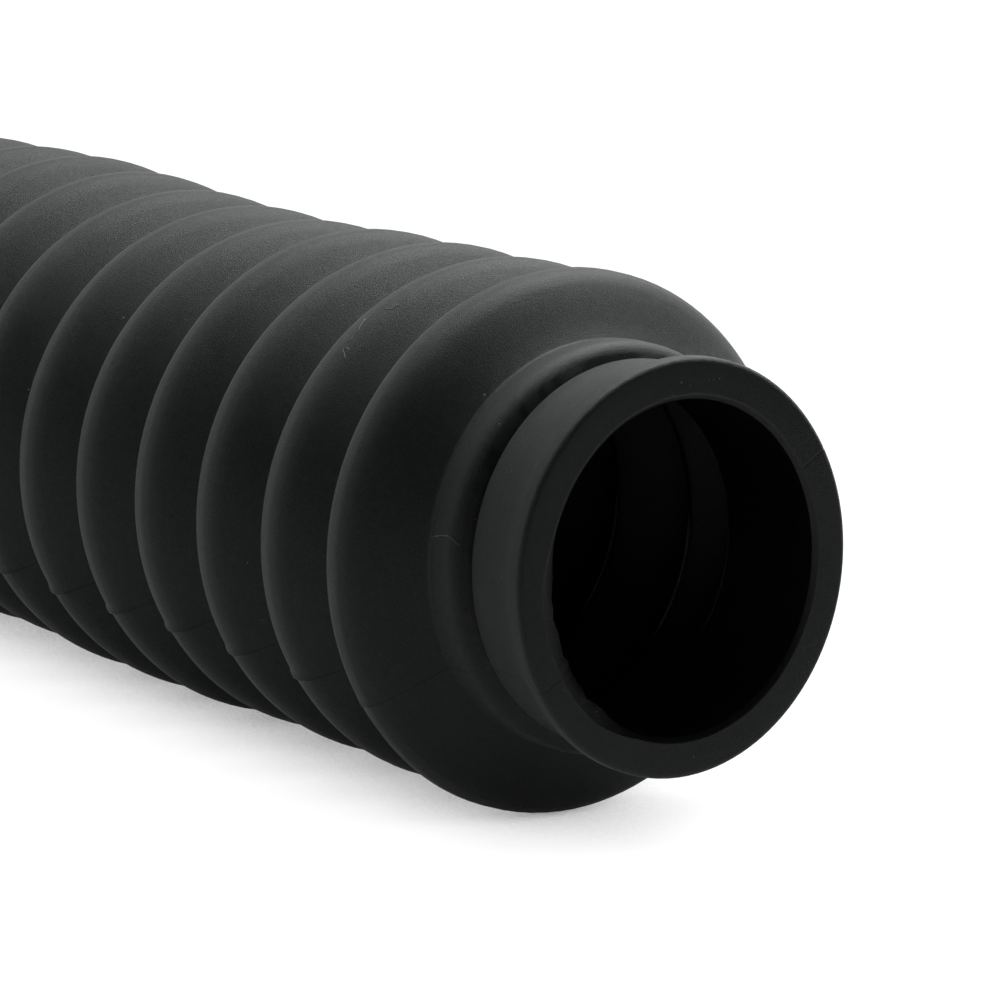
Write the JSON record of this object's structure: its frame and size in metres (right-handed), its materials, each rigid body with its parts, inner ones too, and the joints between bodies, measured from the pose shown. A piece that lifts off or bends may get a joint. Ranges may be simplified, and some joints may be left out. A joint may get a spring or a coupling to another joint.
{
  "type": "fork gaiter",
  "caption": "Moulded black rubber bellows that covers a motorbike fork tube, with a thick clamping cuff at each end.",
  "frame": {"origin": "centre of the lower cuff's end face, which the gaiter stands on", "axes": "+Z along the gaiter's axis, from the wider lower cuff to the narrower upper cuff"},
  "size_m": [0.0702, 0.0702, 0.3076],
  "materials": {
    "rubber": "matte"
  },
  "bodies": {
    "root": {"gaiter": "rubber"}
  },
  "joints": []
}
